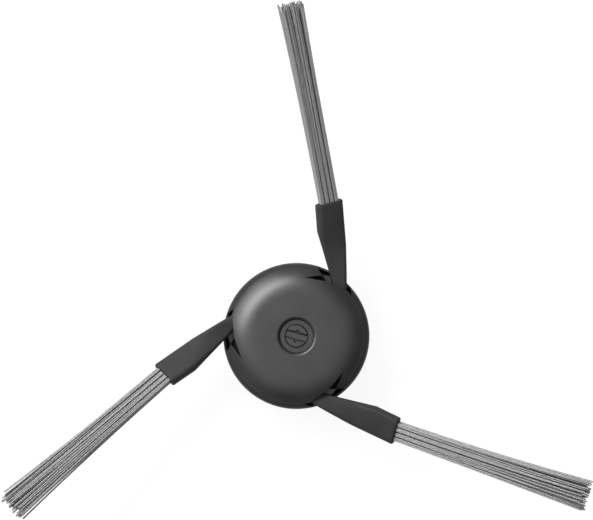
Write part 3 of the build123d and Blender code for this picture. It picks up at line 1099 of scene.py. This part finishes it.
print("filaments in a tuft", sum(ROW_COUNTS))

# %% [markdown]
# The fused root is a bevelled block that fills its share of the pocket with a hair of clearance. It
# stays a little behind the mouth, where it is dark.

# %% Make the tufts
ROOT_EDGE = 0.1
SHARP_TIP = radians(60)


def make_tuft(tuft, fan, shift, place):
    """Fused root in the pocket and the filaments that fan out of it."""
    bm = bmesh.new()
    pitch = POCKET_WIDTH / TUFTS_PER_ARM
    middle = (tuft - (TUFTS_PER_ARM - 1) / 2) * pitch
    half_width, half_height = pitch / 2 - TUFT_CLEARANCE, POCKET_THICKNESS / 2 - TUFT_CLEARANCE
    low = Vector((TUFT_CLEARANCE - POCKET_DEPTH, middle - half_width, -half_height))
    high = Vector((-TUFT_RECESS, middle + half_width, half_height))
    lay_rows(bm, middle, high.x, half_height, fan, shift)
    block = Matrix.LocRotScale((low + high) / 2, None, high - low)
    corners = bmesh.ops.create_cube(bm, size=1.0, matrix=block)["verts"]
    bmesh.ops.bevel(
        bm, geom=list({edge for vert in corners for edge in vert.link_edges}), offset=ROOT_EDGE,
        offset_type="OFFSET", segments=2, profile=0.5, affect="EDGES", material=-1,
    )
    bmesh.ops.transform(bm, matrix=place @ mouth_place, verts=bm.verts)
    return bm


arm_fans = zip(arm_places, FAN_WIDTH, FAN_SHIFT)
for number, (place, fan, shift) in enumerate(arm_fans, start=1):
    for tuft in range(TUFTS_PER_ARM):
        node = f"arm_{number}_tuft_{tuft + 1}"
        tuft_bm = make_tuft(tuft, fan, shift, place)
        keep_piece(tuft_bm, f"{node}_filaments", bristle_nylon, node, SHARP_TIP)
bpy.data.meshes.remove(pattern)

# %% [markdown]
# ## Floor, light and camera
# The brush lies on a white sweep. A white floor under strong light would do, but that light would
# wash out the brush. The floor's material instead shows the camera and mirrors mostly white, and
# keeps a part of its lit surface, so that the shadow stays. The brush itself is lit by the lamps and
# a dim sky.

# %% Floor
FLOOR_SIZE = 12.0
FLOOR_WHITE = 0.92


def make_floor_material():
    """White for the camera and mirrors, with a part of the lit surface left."""
    material, nodes, links, shader = new_material("floor_white")
    shader.inputs["Base Color"].default_value = (0.9, 0.9, 0.9, 1)
    shader.inputs["Roughness"].default_value = 0.9
    shader.inputs["Specular IOR Level"].default_value = 0.0
    glow = nodes.new("ShaderNodeEmission")
    path = nodes.new("ShaderNodeLightPath")
    mirrored = add_node(nodes, "ShaderNodeMath", operation="MAXIMUM")
    seen = add_node(nodes, "ShaderNodeMath", operation="MAXIMUM")
    share = add_node(nodes, "ShaderNodeMath", {1: FLOOR_WHITE}, operation="MULTIPLY")
    mix = nodes.new("ShaderNodeMixShader")
    links.new(path.outputs["Is Glossy Ray"], mirrored.inputs[0])
    links.new(path.outputs["Is Transmission Ray"], mirrored.inputs[1])
    links.new(mirrored.outputs["Value"], seen.inputs[0])
    links.new(path.outputs["Is Camera Ray"], seen.inputs[1])
    links.new(seen.outputs["Value"], share.inputs[0])
    links.new(share.outputs["Value"], mix.inputs["Fac"])
    links.new(shader.outputs["BSDF"], mix.inputs[1])
    links.new(glow.outputs["Emission"], mix.inputs[2])
    links.new(mix.outputs["Shader"], nodes["Material Output"].inputs["Surface"])
    return material


def make_floor():
    """Wide white floor at the rest face."""
    bm = bmesh.new()
    bmesh.ops.create_grid(bm, x_segments=4, y_segments=4, size=FLOOR_SIZE / 2)
    mesh = bpy.data.meshes.new("floor")
    bm.to_mesh(mesh)
    bm.free()
    mesh.materials.append(make_floor_material())
    floor = bpy.data.objects.new("floor", mesh)
    scene.collection.objects.link(floor)
    print("floor", FLOOR_SIZE, "m wide")


make_floor()

# %% [markdown]
# Three soft oval lamps light the brush. The key lamp stands at the upper left, about halfway up, and
# its reflection is the bright crescent on the dome's brow, so its height was chosen from where that
# crescent lies. A low lamp beside it brightens the shoulder and the flanks of the arms, and a weak
# fill lamp at the lower left keeps the shaded side from going black.

# %% Lamps
LAMP_DISTANCE = 1.0


def add_lamp(name, azimuth, elevation, width, height, power):
    """Soft oval lamp that looks at the brush from a direction, in degrees."""
    turn, rise = radians(azimuth), radians(elevation)
    way = Vector((cos(turn) * cos(rise), sin(turn) * cos(rise), sin(rise)))
    data = bpy.data.lights.new(name, "AREA")
    data.shape = "ELLIPSE"
    data.size = width
    data.size_y = height
    data.energy = power
    lamp = bpy.data.objects.new(name, data)
    lamp.location = way * LAMP_DISTANCE
    lamp.rotation_euler = (-way).to_track_quat("-Z", "Y").to_euler()
    scene.collection.objects.link(lamp)
    print(name, power, "W")


add_lamp("key_lamp", azimuth=134.0, elevation=45.0, width=1.15, height=0.42, power=16.6)
add_lamp("low_lamp", azimuth=142.0, elevation=20.0, width=1.4, height=0.35, power=5.2)
add_lamp("fill_lamp", azimuth=214.0, elevation=55.0, width=0.9, height=0.9, power=0.8)

# %% [markdown]
# The sky is a ramp over the height of the direction. It is white at the horizon, so that low views
# have a white backdrop, dark higher up, where the dome's slopes mirror it, and white again overhead,
# which gives the flat crown its even grey.

# %% Sky
SKY_STOPS = ((0.0, 1.0), (0.03, 0.3), (0.12, 0.03), (0.55, 0.03), (0.88, 1.05))


def make_sky():
    """World whose brightness follows the height of the direction."""
    world = bpy.data.worlds.new("studio")
    world.use_nodes = True
    nodes, links = world.node_tree.nodes, world.node_tree.links
    direction = nodes.new("ShaderNodeTexCoord")
    parts = nodes.new("ShaderNodeSeparateXYZ")
    sky = add_ramp(nodes, [(height, (level, level, level)) for height, level in SKY_STOPS])
    links.new(direction.outputs["Generated"], parts.inputs["Vector"])
    links.new(parts.outputs["Z"], sky.inputs["Fac"])
    links.new(sky.outputs["Color"], nodes["Background"].inputs["Color"])
    scene.world = world
    print("sky", len(SKY_STOPS), "stops")


make_sky()

# %% [markdown]
# The photograph looks straight down the hub's axis from far away. The camera therefore stands high
# above with a long lens, and its place follows from where the hub lies in the picture.

# %% Camera
PICTURE = (593, 520)
HUB_PIXEL = (296.4, 336.0)
HUB_RADIUS_PIXELS = 73.1
CAMERA_DISTANCE = 5.0
SENSOR = 36.0
pixel = HUB_RADIUS * MM / HUB_RADIUS_PIXELS
camera_data = bpy.data.cameras.new("camera")
camera_data.sensor_width = SENSOR
camera_data.lens = SENSOR * CAMERA_DISTANCE / (PICTURE[0] * pixel)
camera_data.clip_start = 0.1
camera_data.clip_end = 100.0
camera = bpy.data.objects.new("camera", camera_data)
camera.location = (
    (PICTURE[0] / 2 - HUB_PIXEL[0]) * pixel,
    (HUB_PIXEL[1] - PICTURE[1] / 2) * pixel,
    SKIRT_TOP * MM + CAMERA_DISTANCE,
)
scene.collection.objects.link(camera)
scene.camera = camera
scene.view_settings.view_transform = "Standard"
print("lens", round(camera_data.lens, 1), "mm")
